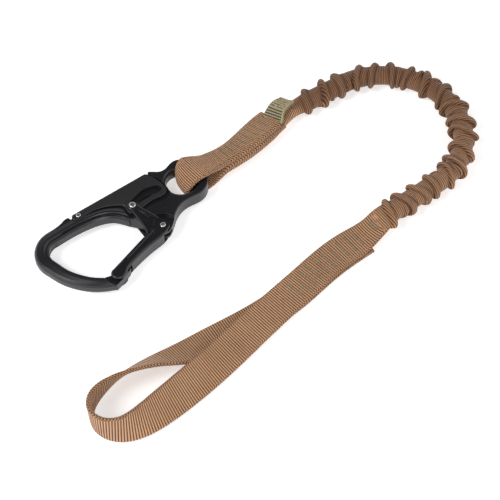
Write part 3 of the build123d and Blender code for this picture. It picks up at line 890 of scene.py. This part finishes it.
def webbing_material(name, pitch):
    """Ribbed nylon webbing: round ribs, chevron edges, fine yarns, uneven dye, painted shade in the rib
    grooves, and on the cover painted shade between its folds and at their feet.
    """
    shader = Shader(name)
    along, across = shader.uv()
    edge = shader.stored("edge")
    back = shader.backs(shader.math("MULTIPLY", along, math.pi / pitch), 0.2, 0.92)
    sway = shader.math("MULTIPLY_ADD", shader.wave(across, CHEVRON_WIDE), 0.9, along)
    braid = shader.backs(shader.math("MULTIPLY", sway, math.pi / EDGE_BRAID), 0.25, 0.85)
    differ = shader.math("SUBTRACT", braid, back)
    back = shader.math("ADD", back, shader.math("MULTIPLY", edge, differ))
    yarn = shader.ramp(shader.wave(across, YARN_PITCH), -1.0, 1.0)
    cloud = shader.noise(38, 4.0)
    fleck = shader.noise(1500)
    groove = linear(GROOVE_SHADE_AND_FLECK_BROWN)
    # tan rib backs with painted shade in the grooves between them
    colour = shader.mix(back, groove, linear(RIB_TAN))
    blotch = shader.math("MULTIPLY", shader.ramp(cloud, 0.35, 0.7), 0.22)
    colour = shader.mix(blotch, colour, linear(BLOTCH_BROWN))
    speck = shader.math("MULTIPLY", shader.ramp(fleck, 0.55, 0.75), 0.3)
    colour = shader.mix(speck, colour, groove)
    colour = shader.mix(shader.math("MULTIPLY", edge, 0.2), colour, groove)
    # painted shade: the cover darker between its folds and in the creases at their feet
    colour = shader.mix(shader.stored("shade"), colour, linear(COVER_SHADE), "MULTIPLY")
    height = shader.math("MULTIPLY_ADD", yarn, 0.12, back)
    height = shader.math("MULTIPLY_ADD", fleck, 0.3, height)
    rough = shader.math("MULTIPLY_ADD", cloud, 0.2, 0.68)
    return shader.finish(Base_Color=colour, Roughness=rough, Normal=shader.bump(height, 0.7, 0.35),
                         Sheen_Weight=0.18, Sheen_Roughness=0.45, Specular_IOR_Level=0.25)


def thread_material():
    """Olive bonded thread with twisted plies."""
    shader = Shader("bonded_thread")
    along, around = shader.uv()
    lay = shader.math("MULTIPLY", around, 0.0063)
    twist = shader.math("SINE", shader.math("MULTIPLY_ADD", along, 9.0, lay))
    colour = shader.mix(shader.ramp(twist, -1, 1), linear(THREAD_DARK), linear(THREAD_LIGHT))
    wear = shader.noise(700)
    colour = shader.mix(shader.math("MULTIPLY", wear, 0.5), colour, linear(THREAD_WORN))
    return shader.finish(Base_Color=colour, Roughness=0.55, Normal=shader.bump(twist, 0.5, 0.12),
                         Sheen_Weight=0.2)


def core_material():
    """Rubber elastic under a braided jacket."""
    shader = Shader("braided_elastic")
    along, around = shader.uv()
    one = shader.math("SINE", shader.math("ADD", along, around))
    other = shader.math("SINE", shader.math("SUBTRACT", along, around))
    braid = shader.math("MULTIPLY", one, other)
    colour = shader.mix(shader.ramp(braid, -1, 1), linear(ELASTIC_DARK), linear(ELASTIC_LIGHT))
    return shader.finish(Base_Color=colour, Roughness=0.8, Normal=shader.bump(braid, 0.6, 0.3))


BAR_PITCH = 2.1                     # pitch of the tab's dark bars
BARS_END = 12.4                     # and where they give way to broken lines
LINE_PITCH = 1.9
TAB_MIDDLE = 7.6                    # middle of the printed width, across the tab
TAB_PRINT = 6.9                     # and half of that width


def label_lines(shader, front, across):
    """Lines broken up differently in each row."""
    lines = shader.math("GREATER_THAN", shader.wave(front, LINE_PITCH), 0.1)
    row = shader.math("FLOOR", shader.math("DIVIDE", front, LINE_PITCH))
    place = shader.math("MULTIPLY_ADD", across, 0.9, shader.math("MULTIPLY", row, 17.0))
    breaks = shader.node("ShaderNodeTexNoise", Scale=1.1, Detail=1.0)
    breaks.noise_dimensions = "1D"
    shader.feed(breaks.inputs["W"], place)
    broken = shader.math("GREATER_THAN", breaks.outputs["Fac"], 0.47)
    return shader.math("MULTIPLY", lines, broken)


def label_material(length):
    """Woven tab: tan ground with plain dark bars and broken lines."""
    shader = Shader("woven_tab")
    along, across = shader.uv()
    front = shader.math("MINIMUM", along, shader.math("SUBTRACT", length, along))
    zone = shader.math("LESS_THAN", front, BARS_END)
    bars = shader.math("GREATER_THAN", shader.wave(front, BAR_PITCH), -0.1)
    solid = shader.math("MULTIPLY", bars, zone)
    rest = shader.math("SUBTRACT", 1.0, zone)
    dashes = shader.math("MULTIPLY", label_lines(shader, front, across), rest)
    away = shader.math("ABSOLUTE", shader.math("SUBTRACT", across, TAB_MIDDLE))
    ink = shader.math("MULTIPLY", shader.math("MAXIMUM", solid, dashes),
                      shader.math("LESS_THAN", away, TAB_PRINT))
    weave = shader.noise(1900, 1.0)
    ground = shader.mix(weave, linear(TAB_DARK), linear(TAB_LIGHT))
    colour = shader.mix(shader.math("MULTIPLY", ink, 0.9), ground, linear(TAB_INK))
    return shader.finish(Base_Color=colour, Roughness=0.75, Normal=shader.bump(weave, 0.4, 0.15),
                         Sheen_Weight=0.2)


WORN_EDGE = 0.35                    # width of the worn line along an edge


def metal_material(name, body, edge, rough, metallic):
    """Dark coated metal: rounded edges that catch light, faint scuffs and grain."""
    shader = Shader(name)
    round_edge = shader.node("ShaderNodeBevel", Radius=WORN_EDGE * MM)
    round_edge.samples = 6
    flat = shader.node("ShaderNodeNewGeometry").outputs["Normal"]
    meet = shader.tree.nodes.new("ShaderNodeVectorMath")
    meet.operation = "DOT_PRODUCT"
    shader.feed(meet.inputs[0], round_edge.outputs[0])
    shader.feed(meet.inputs[1], flat)
    worn = shader.ramp(meet.outputs["Value"], 0.995, 0.9)
    patchy = shader.ramp(shader.noise(160, 5.0), 0.38, 0.66)
    scuff = linear(edge)
    colour = shader.mix(shader.math("MULTIPLY", worn, patchy), linear(body), scuff)
    cloud = shader.noise(30, 3.0)
    colour = shader.mix(shader.math("MULTIPLY", cloud, 0.35), colour, scuff)
    grain = shader.noise(2600)
    roughness = shader.math("MULTIPLY_ADD", cloud, 0.14, rough - 0.05)
    roughness = shader.math("MULTIPLY_ADD", grain, 0.08, roughness)
    bump = shader.node("ShaderNodeBump", Strength=0.12, Distance=0.05 * MM, Height=grain)
    shader.feed(bump.inputs["Normal"], round_edge.outputs[0])
    return shader.finish(Base_Color=colour, Roughness=roughness, Metallic=metallic,
                         Normal=bump.outputs[0], Specular_IOR_Level=0.75)


def steel_material(name, bright, rough):
    """Bare steel with fine turning marks."""
    shader = Shader(name)
    marks = shader.noise(420)
    dull = (bright - 40, bright - 40, bright - 36)
    colour = shader.mix(marks, linear(dull), linear((bright, bright, bright)))
    roughness = shader.math("MULTIPLY_ADD", marks, 0.15, rough)
    return shader.finish(Base_Color=colour, Roughness=roughness, Metallic=1.0,
                         Normal=shader.bump(marks, 0.08, 0.02))


# ------------------------------------------------------------- hook's metal
def dress_hook():
    """Finishes for the hook's CAD parts, and its return spring."""
    anodised = metal_material("anodised_forging", ANODISED, ANODISED_WORN, 0.29, 0.3)
    lever = metal_material("coated_lever", LEVER_COAT, LEVER_WORN, 0.40, 0.05)
    gate = metal_material("anodised_gate", ANODISED, ANODISED_WORN, 0.27, 0.3)
    rivet = steel_material("rivet_steel", 240, 0.16)
    spring = steel_material("spring_steel", 190, 0.3)
    finishes = {
        "hook_body": anodised, "palm_lever": lever, "gate": gate,
        "gate_rivet": rivet, "lever_rivet": rivet, "lock_pin": rivet,
        "gate_spring": spring,
    }
    for name, material in finishes.items():
        node = frame["nodes"][name]
        node.data.materials.clear()
        node.data.materials.append(material)
    build_coil(spring)


def build_coil(material):
    """The lever's return spring."""
    rise = np.linspace(0, COIL_HIGH, COIL_POINTS)
    turn = 2 * math.pi * rise / COIL_PITCH
    wind = np.stack([COIL_RADIUS * np.cos(turn), rise, COIL_RADIUS * np.sin(turn)], axis=1)
    coil = thread_object("lever_coil", [np.array(COIL_FOOT) + wind], COIL_WIRE)
    coil.data.materials.append(material)
    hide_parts("lever_spring")
    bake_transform(coil)


# ------------------------------------------------------------ floor, light
FLOOR_REACH = 6.0                   # metres from the middle to the floor's edge
FLOOR_TONES = (0.78, 0.81)
FLOOR_GLOW = 0.55


def build_floor():
    """Plain pale floor."""
    mesh = bpy.data.meshes.new("floor")
    signs = ((-1, -1), (1, -1), (1, 1), (-1, 1))
    corners = [(x * FLOOR_REACH, y * FLOOR_REACH, 0) for x, y in signs]
    mesh.from_pydata(corners, [], [(0, 1, 2, 3)])
    floor = bpy.data.objects.new("floor", mesh)
    floor.location = (0, 0, FLOOR * MM)
    bpy.context.scene.collection.objects.link(floor)
    shader = Shader("pale_floor")
    dark, light = [(tone, tone, tone, 1) for tone in FLOOR_TONES]
    tone = shader.mix(shader.noise(12), dark, light)
    mesh.materials.append(shader.finish(Base_Color=tone, Roughness=0.9, Specular_IOR_Level=0.1,
                                        Emission_Color=(1, 1, 1, 1), Emission_Strength=FLOOR_GLOW))


# Lights: place in metres, size in metres, power in watts
LIGHTS = {
    "key": ((-1.2, 0.1, 1.5), 0.9, 22),
    "front": ((-0.35, -1.5, 1.0), 0.5, 6),
    "fill": ((1.3, -0.6, 1.2), 1.4, 6.5),
}
LIGHT_TARGET = (0.13, -0.06, 0)
# Strength of the surrounding light, from level to overhead
SKY = (("From Min", 0.1), ("From Max", 0.75), ("To Min", 1.3), ("To Max", 0.1))


def aim(item, place, target):
    """Puts a light or camera at a place in metres and turns it to a target."""
    item.location = place
    item.rotation_mode = "QUATERNION"
    item.rotation_quaternion = (Vector(target) - Vector(place)).to_track_quat("-Z", "Y")
    bpy.context.scene.collection.objects.link(item)


def soft_light(name, place, size, power):
    """Round area light."""
    data = bpy.data.lights.new(name, "AREA")
    data.shape = "DISK"
    data.size = size
    data.energy = power
    aim(bpy.data.objects.new(name, data), place, LIGHT_TARGET)


def build_light():
    """Soft studio light: a pale surround, brightest at the horizon, and three lamps."""
    world = bpy.data.worlds.new("studio")
    world.use_nodes = True
    tree = world.node_tree
    background = tree.nodes["Background"]
    place = tree.nodes.new("ShaderNodeTexCoord")
    split = tree.nodes.new("ShaderNodeSeparateXYZ")
    fade = tree.nodes.new("ShaderNodeMapRange")
    tree.links.new(place.outputs["Generated"], split.inputs[0])
    tree.links.new(split.outputs[2], fade.inputs["Value"])
    tree.links.new(fade.outputs[0], background.inputs[1])
    for name, value in SKY:
        fade.inputs[name].default_value = value
    background.inputs[0].default_value = (1.0, 1.0, 1.0, 1)
    bpy.context.scene.world = world
    for name, settings in LIGHTS.items():
        soft_light(name, *settings)
    bpy.context.scene.view_settings.view_transform = "Standard"


CAMERA = Vector((-265.04, -576.33, 890.38))
TARGET = Vector((110.16, -78.42, 0.0))
LENS = 108.0
SENSOR = 36.0


def build_camera():
    """Long lens from above the near side."""
    data = bpy.data.cameras.new("camera")
    data.lens = LENS
    data.sensor_width = SENSOR
    data.clip_start = 0.05
    data.clip_end = 20
    camera = bpy.data.objects.new("camera", data)
    aim(camera, CAMERA * MM, TARGET * MM)
    bpy.context.scene.camera = camera


dress_hook()
build_eye()
build_label()
build_cover()
build_handle()
build_floor()
build_light()
build_camera()
